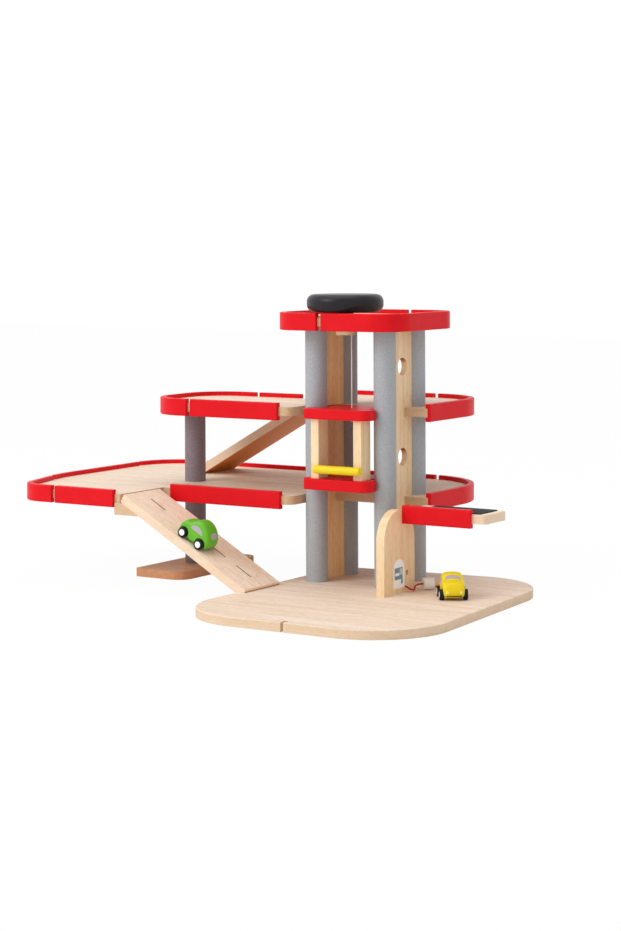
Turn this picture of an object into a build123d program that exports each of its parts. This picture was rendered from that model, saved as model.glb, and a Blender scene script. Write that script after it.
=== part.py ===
from build123d import *
import math
import os

# Toy parking garage with a hand-wound lift, two decks, two ramps, a pump and two cars.
# Millimetres, +Z up. Origin: centre of the four tower tubes in plan, z = 0 under the base board.
os.makedirs("parts", exist_ok=True)

# ---------------------------------------------------------------- sizes
BOARD_T = 12.0          # every deck and base board
STOREY = 120.0          # underside of one deck to the underside of the next above the first
LOWER_Z = 118.0         # underside of the lower deck
UPPER_Z = LOWER_Z + STOREY
TOP_Z = 362.0           # underside of the tower's top board

BAND_H = 24.0           # red edge band
BAND_WEB = 5.0          # band thickness outside the board edge
BAND_GROOVE = 3.0       # how deep the board edge sits in the band
BAND_EDGE_R = 1.6

TUBE_D = 30.0
TUBE_X = 54.5           # tube axes, half spacing
TUBE_Y = 39.5
PANEL_T = 8.0
PANEL_HOLE_D = 24.0
PANEL_HOLE_Z = (184.0, 306.0)

BASE_LEFT, BASE_FRONT = -95.0, -335.0
BASE_REAR_LEFT, BASE_REAR_RIGHT = 90.0, 128.0
BASE_RIGHT_FRONT, BASE_RIGHT_REAR = 262.0, 226.0
BASE_CORNER_R = 100.0
BASE_REAR_R = 40.0
BASE_EDGE_R = 1.8
KEYHOLE_X = 83.0        # notch in the base's front edge
KEYHOLE_NECK = 4.0
KEYHOLE_D = 7.0
KEYHOLE_DEEP = 12.0

COLUMN_X, COLUMN_Y = -298.0, 15.0
FOOT_X = (-340.0, -257.0)
FOOT_Y = (-73.0, 119.0)
FOOT_R = 22.0

RAMP_ANGLE = 29.6
RAMP_W = 82.0
RAMP_GAP = 5.0          # ramp side to the deck band beside it, and ramp end to the step
RAMP_NOSE_R = 2.5
RAMP_DASH_L, RAMP_DASH_W, RAMP_DASH_DEEP = 15.0, 2.2, 0.8
RAMP_DASH_PITCH = 34.0
RAMP1_X, RAMP1_Y = -281.0, -135.0
RAMP2_X, RAMP2_Y = -152.0, 141.0
LEDGE_H = 16.0
LEDGE_BACK = 8.0       # ledge under the deck, behind the step edge
LEDGE_REACH = 33.0      # ledge past the ramp's end
LEDGE_CLEAR = 2.0       # ramp's underside to the slanted ledge, along X

# lower deck outline
LOWER_LEFT, LOWER_LEFT_FRONT, LOWER_NOSE_X = -499.0, -495.0, -458.0
LOWER_FRONT = RAMP1_Y - RAMP_W / 2
LOWER_SHOULDER_Y, LOWER_REAR = -50.0, 212.0
STEP_X, STEP_Y = -288.0, -77.0      # where ramp 1 starts, and the inner front edge
LOWER_TIP_X, UPPER_TIP_X, TIP_R = -72.0, -78.0, 14.0
LOWER_NOSE_R, LOWER_SHOULDER_R, LOWER_REAR_R, LOWER_WING_R = 40.0, 200.0, 67.0, 117.0

# upper deck and top board outlines
UPPER_LEFT, UPPER_FRONT, UPPER_INNER_Y, UPPER_REAR = -317.0, -72.0, 82.0, 190.0
UPPER_LEFT_R, UPPER_WING_R = 55.0, 85.0
TOP_HALF_X, TOP_HALF_Y, TOP_R = 95.0, 87.0, 40.0

# plan windows (x0, x1, y0, y1) that cut the bands to length
LOWER_FRONT_CUT = (-399.0, -297.0, -250.0, -150.0)
LOWER_CORNER_CUT = (-700.0, -406.0, -250.0, -80.0)
LOWER_LEFT_CUT = (-700.0, -440.0, -73.0, 141.0)
LOWER_REAR_LEFT_CUT = (-700.0, -424.0, 149.0, 300.0)
LOWER_REAR_CUT = (-416.0, -11.0, 180.0, 300.0)
LOWER_WING_CUT = (-3.0, 200.0, 5.0, 300.0)
LOWER_STEP_CUT = (-272.0, -88.0, -100.0, -60.0)
UPPER_FRONT_CUT = (-241.0, -95.0, -100.0, -60.0)
UPPER_LEFT_CUT = (-500.0, -248.0, -100.0, 130.0)
UPPER_TURN_CUT = (-250.0, -237.0, 70.0, 130.0)
UPPER_INNER_CUT = (-229.0, -158.0, 70.0, 92.0)
UPPER_REAR_CUT = (-151.0, 0.0, 187.0, 250.0)
UPPER_WING_CUT = (8.0, 200.0, 5.0, 250.0)
TOP_LEFT_CUTS = (-150.0, -22.0, -150.0, 0.0), (-150.0, 16.0, -1.0, 150.0)
TOP_RIGHT_CUTS = (-14.0, 150.0, -150.0, 0.0), (24.0, 150.0, -1.0, 150.0)
WING_INSIDE = (-20.0, 60.0, 40.0)   # from x, to y and half height of the space inside the wing's band

# lift, at rest with its floor plate just above the lower deck
LIFT_FLOOR_Z = 142.0
PLATE_T = 15.0
ROOF_T = 14.0
ROOF_Z = 237.0
LIFT_GAP = 2.0          # plate to tube, panel and deck edge
LIP_FRONT_Y = -84.0
LIP_FRONT_HALF = 52.5
LIP_R = 12.0
DECK_IN_Y = 5.0         # deck edge inside the tower
WING_X = 94.5           # right edge of both decks
POST_W, POST_D = 12.0, 24.0
POST_X = 33.5
POST_Y = -65.0

BARRIER_D = 11.4
BARRIER_Z = 170.0
BARRIER_LEFT, BARRIER_TAIL = 64.0, 8.5
BARRIER_GAP = 0.3
PIN_D = 4.0

KNOB_D = 104.0
KNOB_H = 24.0
KNOB_LIFT = 6.6         # spacer under the knob, so it clears the red band
KNOB_R = 10.0
KNOB_X, KNOB_Y = -4.0, -45.0
SHAFT_D = 10.0
SHAFT_GAP = 0.3
DRUM_D = 18.0
DRUM_H = 7.5
CORD_D = 2.0
CUP_D, CUP_WALL, CUP_H = 26.0, 1.6, 12.5
CUP_FLOOR = 2.5
CORD_HOLE_D = 4.0

PUMP_X = 83.0
PUMP_Y = (-111.0, -32.0)
PUMP_TOP = 122.0
STICKER_Y = (-87.0, -60.0)
STICKER_Z = (19.0, 57.0)
STICKER_T = 0.6

SOLAR_X = (95.0, 217.0)
SOLAR_Y = (-60.0, -2.0)
SOLAR_Z = 109.0
SOLAR_BAND_END = 197.0
SHEET_X = (116.0, 207.0)
SHEET_Y = (-55.0, -8.0)
SHEET_T = 1.5

HOSE_D = 2.2
HOSE_POINTS = [(95.5, -57.5, 19.8), (103.0, -57.0, 16.0), (104.0, -47.0, 13.4),
               (99.0, -38.0, 20.0), (107.0, -30.0, 20.0)]
NOZZLE_D, NOZZLE_L = 16.0, 14.0
TIP_D, TIP_END_D, TIP_L = 11.0, 7.0, 12.0

CAR_L, CAR_W, CAR_H = 52.0, 38.0, 33.0
CAR_BODY_W = 31.5       # the wheels stand proud of the body
CAR_BELLY = 3.0
CAR_SIDE_R = 7.0
WHEEL_D, TYRE_W = 14.0, 6.0
HUB_D = 8.6
AXLE_D = 3.0
WHEELBASE = 30.0
CAR_GAP = 0.3           # axle in its bore
ARCH_GAP = 1.5          # tyre to wheel arch
GLASS_T = 0.8

YELLOW_AT = (172.0, -68.0)
YELLOW_HEADING = -54.4
GREEN_X, GREEN_Y = -177.0, -153.0

SLOPE = math.tan(math.radians(RAMP_ANGLE))


# ---------------------------------------------------------------- helpers
def block(x0, x1, y0, y1, z0, z1):
    return Pos((x0 + x1) / 2, (y0 + y1) / 2, (z0 + z1) / 2) * Box(x1 - x0, y1 - y0, z1 - z0)


def rod(x, y, z0, z1, d):
    return Pos(x, y, (z0 + z1) / 2) * Cylinder(d / 2, z1 - z0)


def outline(corners):
    """Flat face through (x, y, corner radius), going round once."""
    face = Face(Wire.make_polygon([(x, y, 0) for x, y, r in corners], close=True))
    for x, y, r in corners:
        if r > 0:
            near = sorted(face.vertices(), key=lambda v: (v.X - x) ** 2 + (v.Y - y) ** 2)[0]
            face = face.fillet_2d(r, [near])
    return face


def board(face, z):
    return Pos(0, 0, z) * extrude(face, BOARD_T)


def band_ring(face, z):
    """Grooved edge band all round a board outline; pieces are cut from it."""
    outer = extrude(offset(face, BAND_WEB), BAND_H)
    rims = outer.edges().group_by(Axis.Z)
    outer = fillet(rims[0] + rims[-1], BAND_EDGE_R)
    inner = extrude(offset(face, -BAND_GROOVE), BAND_H)
    drop = (BAND_H - BOARD_T) / 2
    ring = Pos(0, 0, z - drop) * (outer - inner)
    return ring - board(face, z)


def piece(ring, z, *windows):
    """The parts of a band ring inside plan windows (x0, x1, y0, y1)."""
    keep = None
    for x0, x1, y0, y1 in windows:
        cut = block(x0, x1, y0, y1, z - BAND_H, z + BAND_H)
        keep = cut if keep is None else keep + cut
    return ring & keep


def wing_inside(z):
    x0, y1, half = WING_INSIDE
    return block(x0, WING_X - BAND_GROOVE, x0, y1, z - half, z + half)


def save(shape, name):
    solids = shape.solids()
    if len(solids) > 1:
        shape = Compound(children=list(solids))
    else:
        shape = solids[0]
    shape.label = name
    export_step(shape, f"parts/{name}.step")
    print(f"{name:24s} solids {len(solids)} volume {shape.volume:12.1f}")


# ---------------------------------------------------------------- boards
def base_board():
    face = outline([
        (BASE_LEFT, BASE_FRONT, BASE_CORNER_R),
        (BASE_RIGHT_FRONT, BASE_FRONT, BASE_CORNER_R),
        (BASE_RIGHT_REAR, BASE_REAR_RIGHT, BASE_CORNER_R),
        (BASE_LEFT, BASE_REAR_LEFT, BASE_REAR_R),
    ])
    solid = extrude(face, BOARD_T)
    solid = fillet(solid.edges().group_by(Axis.Z)[-1], BASE_EDGE_R)
    eye = BASE_FRONT + KEYHOLE_DEEP - KEYHOLE_D / 2
    solid -= rod(KEYHOLE_X, eye, 0, BOARD_T, KEYHOLE_D)
    half = KEYHOLE_NECK / 2
    solid -= block(KEYHOLE_X - half, KEYHOLE_X + half, BASE_FRONT - 1, eye, 0, BOARD_T)
    return solid


def foot_board():
    face = outline([
        (FOOT_X[0], FOOT_Y[0], 3.0),
        (FOOT_X[1], FOOT_Y[0], FOOT_R),
        (FOOT_X[1], FOOT_Y[1], FOOT_R),
        (FOOT_X[0], FOOT_Y[1], 3.0),
    ])
    return extrude(face, BOARD_T)


LOWER_FACE = outline([
    (LOWER_NOSE_X, LOWER_FRONT, LOWER_NOSE_R),
    (STEP_X, LOWER_FRONT, 0),
    (STEP_X, STEP_Y, 0),
    (LOWER_TIP_X, STEP_Y, TIP_R),
    (LOWER_TIP_X, DECK_IN_Y, 0),
    (WING_X, DECK_IN_Y, 0),
    (WING_X, LOWER_REAR, LOWER_WING_R),
    (LOWER_LEFT, LOWER_REAR, LOWER_REAR_R),
    (LOWER_LEFT_FRONT, LOWER_SHOULDER_Y, LOWER_SHOULDER_R),
])

UPPER_FACE = outline([
    (UPPER_LEFT, UPPER_FRONT, UPPER_LEFT_R),
    (UPPER_TIP_X, UPPER_FRONT, TIP_R),
    (UPPER_TIP_X, DECK_IN_Y, 0),
    (WING_X, DECK_IN_Y, 0),
    (WING_X, UPPER_REAR, UPPER_WING_R),
    (RAMP2_X, UPPER_REAR, 0),
    (RAMP2_X, UPPER_INNER_Y, 0),
    (UPPER_LEFT, UPPER_INNER_Y, UPPER_LEFT_R),
])

TOP_FACE = outline([
    (-TOP_HALF_X, -TOP_HALF_Y, TOP_R),
    (TOP_HALF_X, -TOP_HALF_Y, TOP_R),
    (TOP_HALF_X, TOP_HALF_Y, TOP_R),
    (-TOP_HALF_X, TOP_HALF_Y, TOP_R),
])


def tower_cuts(z):
    """Holes for the two rear tubes and slots for the side panels in a deck."""
    cuts = None
    for side in (-1, 1):
        x = side * TUBE_X
        hole = rod(x, TUBE_Y, z - 1, z + BOARD_T + 1, TUBE_D)
        slot = block(x - PANEL_T / 2, x + PANEL_T / 2, DECK_IN_Y - 1, TUBE_Y,
                     z - 1, z + BOARD_T + 1)
        cuts = hole + slot if cuts is None else cuts + hole + slot
    return cuts


def tube(sx, sy):
    return rod(sx * TUBE_X, sy * TUBE_Y, BOARD_T, TOP_Z, TUBE_D)


def side_panel(side):
    x = side * TUBE_X
    solid = block(x - PANEL_T / 2, x + PANEL_T / 2, -TUBE_Y, TUBE_Y, BOARD_T, TOP_Z)
    for sy in (-1, 1):
        solid -= tube(side, sy)
    if side > 0:
        for z in PANEL_HOLE_Z:
            solid -= Pos(x, 0, z) * Rot(0, 90, 0) * Cylinder(PANEL_HOLE_D / 2, PANEL_T * 2)
    middle = [s for s in solid.solids() if abs(s.center().Y) < 5]
    return middle[0]


# ---------------------------------------------------------------- ramps
def ramp(top_x, y, top_z, foot_z):
    """Plank running down towards +X (top_z at top_x), cut flat where it lies on foot_z."""
    rise = top_z - foot_z
    run = rise / SLOPE
    nx = math.sin(math.radians(RAMP_ANGLE)) * BOARD_T
    nz = math.cos(math.radians(RAMP_ANGLE)) * BOARD_T
    foot_x = top_x + run
    # underside line meets foot_z here
    heel_x = top_x - nx + (top_z - nz - foot_z) / SLOPE
    profile = Face(Wire.make_polygon([
        (top_x, 0, top_z), (foot_x, 0, foot_z), (heel_x, 0, foot_z),
        (top_x - nx, 0, top_z - nz)], close=True))
    solid = Pos(0, y - RAMP_W / 2, 0) * extrude(profile, RAMP_W, dir=(0, 1, 0))
    nose = [e for e in solid.edges() if abs(e.center().X - foot_x) < 0.01 and abs(e.center().Z - foot_z) < 0.01]
    solid = fillet(nose, RAMP_NOSE_R)
    for share in (0.1, 0.9):
        for step in (0, 1):
            along = rise / math.sin(math.radians(RAMP_ANGLE)) * share + (step - 0.5) * RAMP_DASH_PITCH
            dx = along * math.cos(math.radians(RAMP_ANGLE))
            mark = Box(RAMP_DASH_L, RAMP_DASH_W, RAMP_DASH_DEEP * 2)
            solid -= Pos(top_x + dx, y, top_z - dx * SLOPE) * Rot(0, RAMP_ANGLE, 0) * mark
    return solid


def ledge(step_x, y, top_z):
    """Block under a deck's step edge with a slanted top that the plank rests on."""
    under = top_z - BOARD_T
    low = under - LEDGE_H
    end_x = step_x + RAMP_GAP + LEDGE_REACH
    wide = block(step_x - LEDGE_BACK, end_x, y - RAMP_W / 2 - 2, y + RAMP_W / 2 + 2, low, under)
    clear = block(-RAMP_W, 5 * RAMP_W, -RAMP_W, RAMP_W, 0, RAMP_W)
    ramp_x = step_x + RAMP_GAP + LEDGE_CLEAR
    hyp_z = BOARD_T / math.cos(math.radians(RAMP_ANGLE))
    clear = Pos(ramp_x, y, top_z - hyp_z) * Rot(0, RAMP_ANGLE, 0) * clear
    return wide - clear


# ---------------------------------------------------------------- lift
def h_plate(z, thick):
    neck_half = TUBE_X - TUBE_D / 2 - LIFT_GAP
    lip_half = TUBE_X - PANEL_T / 2 - LIFT_GAP
    tube_front = -TUBE_Y - TUBE_D / 2
    tube_rear = -TUBE_Y + TUBE_D / 2
    rear = DECK_IN_Y - LIFT_GAP
    face = outline([
        (-LIP_FRONT_HALF, LIP_FRONT_Y, LIP_R), (LIP_FRONT_HALF, LIP_FRONT_Y, LIP_R),
        (LIP_FRONT_HALF, tube_front - LIFT_GAP, 4.0), (neck_half, tube_front - LIFT_GAP, 0),
        (neck_half, tube_rear + LIFT_GAP, 0), (lip_half, tube_rear + LIFT_GAP, 2.0),
        (lip_half, rear, 2.0), (-lip_half, rear, 2.0),
        (-lip_half, tube_rear + LIFT_GAP, 2.0), (-neck_half, tube_rear + LIFT_GAP, 0),
        (-neck_half, tube_front - LIFT_GAP, 0), (-LIP_FRONT_HALF, tube_front - LIFT_GAP, 4.0)])
    solid = extrude(face, thick)
    rims = solid.edges().group_by(Axis.Z)
    solid = fillet(rims[0] + rims[-1], 1.5)
    return Pos(0, 0, z) * solid


CORD_X = KNOB_X + DRUM_D / 2 + CORD_D / 2


def lift_floor():
    return h_plate(LIFT_FLOOR_Z, PLATE_T)


def lift_roof():
    return h_plate(ROOF_Z, ROOF_T)


def lift_posts():
    solid = None
    for side in (-1, 1):
        x = side * POST_X
        post = block(x - POST_W / 2, x + POST_W / 2, POST_Y - POST_D / 2, POST_Y + POST_D / 2,
                     LIFT_FLOOR_Z + PLATE_T, ROOF_Z)
        if side > 0:
            post -= Pos(x, POST_Y, BARRIER_Z) * Rot(90, 0, 0) * Cylinder(PIN_D / 2 + 0.2, POST_D * 2)
        solid = post if solid is None else solid + post
    return solid


BARRIER_Y = POST_Y - POST_D / 2 - BARRIER_D / 2 - BARRIER_GAP


def barrier():
    length = BARRIER_LEFT + BARRIER_TAIL
    mid = POST_X + (BARRIER_TAIL - BARRIER_LEFT) / 2
    bar = Cylinder(BARRIER_D / 2, length)
    bar = fillet(bar.edges(), 1.6)
    bar = Pos(mid, BARRIER_Y, BARRIER_Z) * Rot(0, 90, 0) * bar
    rear = POST_Y + POST_D / 2
    span = rear - BARRIER_Y
    pin = Pos(POST_X, (rear + BARRIER_Y) / 2, BARRIER_Z) * Rot(90, 0, 0) * Cylinder(PIN_D / 2, span)
    return bar + pin


def cord_knot():
    ball = Sphere(2.6)
    return Pos(CORD_X, KNOB_Y, ROOF_Z - 2.3) * ball - block(-90, 90, -90, 90, ROOF_Z, ROOF_Z + 9)


def lift_cord():
    return rod(CORD_X, KNOB_Y, ROOF_Z + ROOF_T, TOP_Z - CUP_H + 1.0, CORD_D)


def knob():
    z = TOP_Z + BOARD_T + KNOB_LIFT
    disc = Cylinder(KNOB_D / 2, KNOB_H)
    disc = fillet(disc.edges(), KNOB_R)
    solid = Pos(KNOB_X, KNOB_Y, z + KNOB_H / 2) * disc
    return solid


def winding_shaft():
    washer = rod(KNOB_X, KNOB_Y, TOP_Z + BOARD_T + 0.2, TOP_Z + BOARD_T + KNOB_LIFT, 22.0)
    stem = rod(KNOB_X, KNOB_Y, TOP_Z - 1.0, TOP_Z + BOARD_T + KNOB_LIFT, SHAFT_D)
    return washer + stem


def winding_drum():
    return rod(KNOB_X, KNOB_Y, TOP_Z - 1.0 - DRUM_H, TOP_Z - 1.0, DRUM_D)


def cord_cup():
    cup = rod(KNOB_X, KNOB_Y, TOP_Z - CUP_H, TOP_Z, CUP_D)
    cup -= rod(KNOB_X, KNOB_Y, TOP_Z - CUP_H + CUP_FLOOR, TOP_Z + 1, CUP_D - 2 * CUP_WALL)
    cup -= rod(CORD_X, KNOB_Y, TOP_Z - CUP_H - 1, TOP_Z, CORD_HOLE_D)
    return cup


# ---------------------------------------------------------------- pump and solar shelf
def pump_board():
    width = PUMP_Y[1] - PUMP_Y[0]
    mid = (PUMP_Y[0] + PUMP_Y[1]) / 2
    r = width / 2
    flat = block(PUMP_X, PUMP_X + BOARD_T, PUMP_Y[0], PUMP_Y[1], BOARD_T, PUMP_TOP - r)
    arch = Pos(PUMP_X + BOARD_T / 2, mid, PUMP_TOP - r) * Rot(0, 90, 0) * Cylinder(r, BOARD_T)
    solid = flat + arch
    solid -= Pos(PUMP_X, -52.0, 37.0) * Rot(0, 90, 0) * Cylinder(3.5, BOARD_T * 3)
    return solid


def sticker():
    face_x = PUMP_X + BOARD_T
    plate = block(face_x, face_x + STICKER_T, STICKER_Y[0], STICKER_Y[1], STICKER_Z[0], STICKER_Z[1])
    ends = plate.edges().filter_by(Axis.X).group_by(Axis.Z)
    plate = fillet(ends[-1], (STICKER_Y[1] - STICKER_Y[0]) / 2 - 1.0)
    return fillet(plate.edges().filter_by(Axis.X).group_by(Axis.Z)[0], 3.0)


def hose():
    radii = []
    for i in range(1, len(HOSE_POINTS) - 1):
        a, b, c = (Vector(*p) for p in HOSE_POINTS[i - 1:i + 2])
        turn = (b - a).get_angle(c - b)
        radii.append(0.45 * min((b - a).length, (c - b).length) / math.tan(math.radians(turn / 2)))
    print("hose bend radii", [round(r, 1) for r in radii])
    path = FilletPolyline(*HOSE_POINTS, radius=radii)
    start = Plane(origin=path @ 0, z_dir=path % 0)
    return sweep(start * Circle(HOSE_D / 2), path=path)


HOSE_END = Vector(*HOSE_POINTS[-1])
NOZZLE_DIR = (HOSE_END - Vector(*HOSE_POINTS[-2])).normalized()
NOZZLE_FLAT = Vector(NOZZLE_DIR.X, NOZZLE_DIR.Y, 0).normalized()


def nozzle_body():
    at = Plane(origin=HOSE_END, z_dir=NOZZLE_FLAT)
    return at * Pos(0, 0, NOZZLE_L / 2) * Cylinder(NOZZLE_D / 2, NOZZLE_L)


def nozzle_tip():
    at = Plane(origin=HOSE_END + NOZZLE_FLAT * NOZZLE_L, z_dir=NOZZLE_FLAT)
    return at * Pos(0, 0, TIP_L / 2) * Cone(TIP_D / 2, TIP_END_D / 2, TIP_L)


SOLAR_FACE = outline([
    (SOLAR_X[0], SOLAR_Y[0], 0), (SOLAR_X[1], SOLAR_Y[0], 6.0),
    (SOLAR_X[1], SOLAR_Y[1], 4.0), (SOLAR_X[0], SOLAR_Y[1], 0)])


def solar_sheet():
    top = SOLAR_Z + BOARD_T
    return block(SHEET_X[0], SHEET_X[1], SHEET_Y[0], SHEET_Y[1], top, top + SHEET_T)


# ---------------------------------------------------------------- cars
def car_form(inset):
    """Rounded saloon, nose towards +X, wheels' ground line at z = 0."""
    h = CAR_L / 2
    corners = [(-h + 1, CAR_BELLY, 3.0), (-h - 0.5, 14.0, 8.0), (-18.0, CAR_H - 5.5, 13.0),
               (-3.0, CAR_H, 11.0), (8.0, 24.5, 6.0), (h - 5, 21.0, 9.0), (h, CAR_BELLY, 5.0)]
    face = outline(corners)
    if inset:
        face = offset(face, -inset)
    width = CAR_BODY_W - 2 * inset
    solid = extrude(face, width, dir=(0, 0, 1))
    solid = Pos(0, width / 2, 0) * Rot(90, 0, 0) * solid
    sides = [e for e in solid.edges() if abs(abs(e.center().Y) - width / 2) < 0.01]
    return fillet(sides, CAR_SIDE_R - inset)


def car_glass(form, core):
    prism = Face(Wire.make_polygon([(-14, 0, 18), (-11, 0, 25), (0, 0, 26.5), (6, 0, 18)], close=True))
    sides = Pos(0, -30, 0) * extrude(prism, 60, dir=(0, 1, 0)) - block(-30, 30, -11, 11, 0, 50)
    screen = block(0.0, 10.0, -9.0, 9.0, 25.5, 30.0)
    back = block(-28.0, -15.0, -7.0, 7.0, 19.0, 25.5)
    glass = None
    for prism in (sides, screen, back):
        pane = (form & prism) - core
        glass = pane if glass is None else glass + pane
    return glass


def wheel_pair(x):
    z = WHEEL_D / 2
    inner = CAR_W / 2 - TYRE_W - 0.5
    lie = Rot(90, 0, 0)
    axle = Pos(x, 0, z) * lie * Cylinder(AXLE_D / 2, 2 * (inner + TYRE_W - 0.5))
    tyres = None
    for side in (-1, 1):
        mid = side * (inner + TYRE_W / 2)
        hub = Pos(x, mid, z) * lie * Cylinder(HUB_D / 2, TYRE_W)
        ring = Cylinder(WHEEL_D / 2, TYRE_W)
        ring = fillet(ring.edges(), 1.2)
        ring = Pos(x, mid, z) * lie * ring - hub
        axle += hub
        tyres = ring if tyres is None else tyres + ring
    return axle, tyres


def car():
    form = car_form(0)
    core = car_form(GLASS_T)
    glass = car_glass(form, core)
    body = form - glass
    out = {}
    for name, x in (("front", WHEELBASE / 2), ("rear", -WHEELBASE / 2)):
        z = WHEEL_D / 2
        body -= Pos(x, 0, z) * Rot(90, 0, 0) * Cylinder(AXLE_D / 2 + CAR_GAP, CAR_W * 2)
        depth = TYRE_W + 1.5
        for side in (-1, 1):
            y = side * (CAR_W / 2 - depth / 2 + 1)
            body -= Pos(x, y, z) * Rot(90, 0, 0) * Cylinder(WHEEL_D / 2 + ARCH_GAP, depth + 2)
        axle, tyres = wheel_pair(x)
        out[name + "_axle"] = axle
        out[name + "_tyres"] = tyres
    body = sorted(body.solids(), key=lambda s: s.volume)[-1]
    out["body"] = body
    out["windows"] = glass
    return out


def put_car(colour, pieces, place):
    for name, shape in pieces.items():
        save(place * shape, f"{colour}_car_{name}")


# ---------------------------------------------------------------- build
def main():
    save(base_board(), "base_board")
    save(foot_board(), "foot_board")

    lower_top = LOWER_Z + BOARD_T
    upper_top = UPPER_Z + BOARD_T
    save(board(LOWER_FACE, LOWER_Z) - tower_cuts(LOWER_Z), "lower_board")
    ring = band_ring(LOWER_FACE, LOWER_Z)
    save(piece(ring, LOWER_Z, LOWER_FRONT_CUT), "lower_band_front")
    save(piece(ring, LOWER_Z, LOWER_CORNER_CUT), "lower_band_corner")
    save(piece(ring, LOWER_Z, LOWER_LEFT_CUT), "lower_band_left")
    save(piece(ring, LOWER_Z, LOWER_REAR_LEFT_CUT), "lower_band_rear_left")
    save(piece(ring, LOWER_Z, LOWER_REAR_CUT), "lower_band_rear")
    save(piece(ring, LOWER_Z, LOWER_WING_CUT) - wing_inside(LOWER_Z), "lower_band_rear_right")
    save(piece(ring, LOWER_Z, LOWER_STEP_CUT), "lower_band_step")

    save(board(UPPER_FACE, UPPER_Z) - tower_cuts(UPPER_Z), "upper_board")
    ring = band_ring(UPPER_FACE, UPPER_Z)
    save(piece(ring, UPPER_Z, UPPER_FRONT_CUT), "upper_band_front")
    left = piece(ring, UPPER_Z, UPPER_LEFT_CUT) + piece(ring, UPPER_Z, UPPER_TURN_CUT)
    save(left, "upper_band_left")
    save(piece(ring, UPPER_Z, UPPER_INNER_CUT), "upper_band_inner")
    save(piece(ring, UPPER_Z, UPPER_REAR_CUT), "upper_band_rear")
    save(piece(ring, UPPER_Z, UPPER_WING_CUT) - wing_inside(UPPER_Z), "upper_band_rear_right")

    top = board(TOP_FACE, TOP_Z)
    top -= rod(KNOB_X, KNOB_Y, TOP_Z - 1, TOP_Z + BOARD_T + 1, SHAFT_D + 2 * SHAFT_GAP)
    save(top, "top_board")
    ring = band_ring(TOP_FACE, TOP_Z)
    save(piece(ring, TOP_Z, *TOP_LEFT_CUTS), "top_band_left")
    save(piece(ring, TOP_Z, *TOP_RIGHT_CUTS), "top_band_right")

    for name, sx, sy in (("front_left", -1, -1), ("front_right", 1, -1),
                         ("rear_left", -1, 1), ("rear_right", 1, 1)):
        save(tube(sx, sy), "tube_" + name)
    save(side_panel(-1), "panel_left")
    save(side_panel(1), "panel_right")
    save(rod(COLUMN_X, COLUMN_Y, BOARD_T, LOWER_Z, TUBE_D), "column_lower")
    save(rod(COLUMN_X, COLUMN_Y, lower_top, UPPER_Z, TUBE_D), "column_upper")

    save(ramp(RAMP1_X, RAMP1_Y, lower_top, BOARD_T), "ramp_1")
    save(ledge(STEP_X, RAMP1_Y, lower_top), "ledge_1")
    turn = Pos(RAMP2_X, RAMP2_Y, 0) * Rot(0, 0, 180)
    save(turn * ramp(RAMP_GAP + LEDGE_CLEAR, 0, upper_top, lower_top), "ramp_2")
    save(turn * ledge(0.0, 0, upper_top), "ledge_2")

    save(lift_floor(), "lift_floor")
    save(lift_roof(), "lift_roof")
    save(lift_posts(), "lift_posts")
    save(barrier(), "barrier_rod")
    save(cord_knot(), "cord_knot")
    save(lift_cord(), "lift_cord")
    save(knob(), "winding_knob")
    save(winding_shaft() + winding_drum(), "winding_shaft")
    save(cord_cup(), "cord_cup")

    save(pump_board(), "pump_board")
    save(sticker(), "pump_sticker")
    save(hose(), "pump_hose")
    save(nozzle_body(), "nozzle_body")
    save(nozzle_tip(), "nozzle_tip")
    save(board(SOLAR_FACE, SOLAR_Z), "solar_board")
    ring = band_ring(SOLAR_FACE, SOLAR_Z)
    save(piece(ring, SOLAR_Z, (SOLAR_X[0], SOLAR_BAND_END, -70, SOLAR_Y[0] + 10)), "solar_band")
    save(solar_sheet(), "solar_sheet")

    pieces = car()
    put_car("yellow", pieces, Pos(YELLOW_AT[0], YELLOW_AT[1], BOARD_T) * Rot(0, 0, YELLOW_HEADING))
    dx = GREEN_X - RAMP1_X
    put_car("green", pieces, Pos(GREEN_X, GREEN_Y, lower_top - dx * SLOPE) * Rot(0, RAMP_ANGLE, 0) * Rot(0, 0, 180))


main()
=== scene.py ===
# %% [markdown]
# # A wooden toy garage, dressed in Blender
# The solid model of the garage is loaded as a fixed frame: every board, tube, ramp and wheel already
# has its real shape and place. This script gives them finishes, adds the small pieces that are easier
# to make here, and sets the floor, the light and the camera.

import math

import bpy
from mathutils import Matrix, Vector


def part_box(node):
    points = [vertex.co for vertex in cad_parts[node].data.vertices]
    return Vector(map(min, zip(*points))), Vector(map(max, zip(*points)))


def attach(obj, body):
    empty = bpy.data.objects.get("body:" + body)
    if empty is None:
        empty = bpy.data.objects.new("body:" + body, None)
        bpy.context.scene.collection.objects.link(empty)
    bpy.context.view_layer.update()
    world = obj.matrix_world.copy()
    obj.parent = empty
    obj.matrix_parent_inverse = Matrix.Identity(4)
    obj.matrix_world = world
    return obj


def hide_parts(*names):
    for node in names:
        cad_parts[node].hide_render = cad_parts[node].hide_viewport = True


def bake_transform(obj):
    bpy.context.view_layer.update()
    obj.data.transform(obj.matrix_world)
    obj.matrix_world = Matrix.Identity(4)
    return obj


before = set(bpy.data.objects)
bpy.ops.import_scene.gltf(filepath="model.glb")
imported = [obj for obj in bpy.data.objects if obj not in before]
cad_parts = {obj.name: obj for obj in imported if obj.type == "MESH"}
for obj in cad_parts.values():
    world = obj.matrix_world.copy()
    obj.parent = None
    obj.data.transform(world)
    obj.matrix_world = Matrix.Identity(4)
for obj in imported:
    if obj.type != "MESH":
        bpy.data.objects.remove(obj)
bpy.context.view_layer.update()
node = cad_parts
print("nodes in the frame:", len(node))

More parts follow.
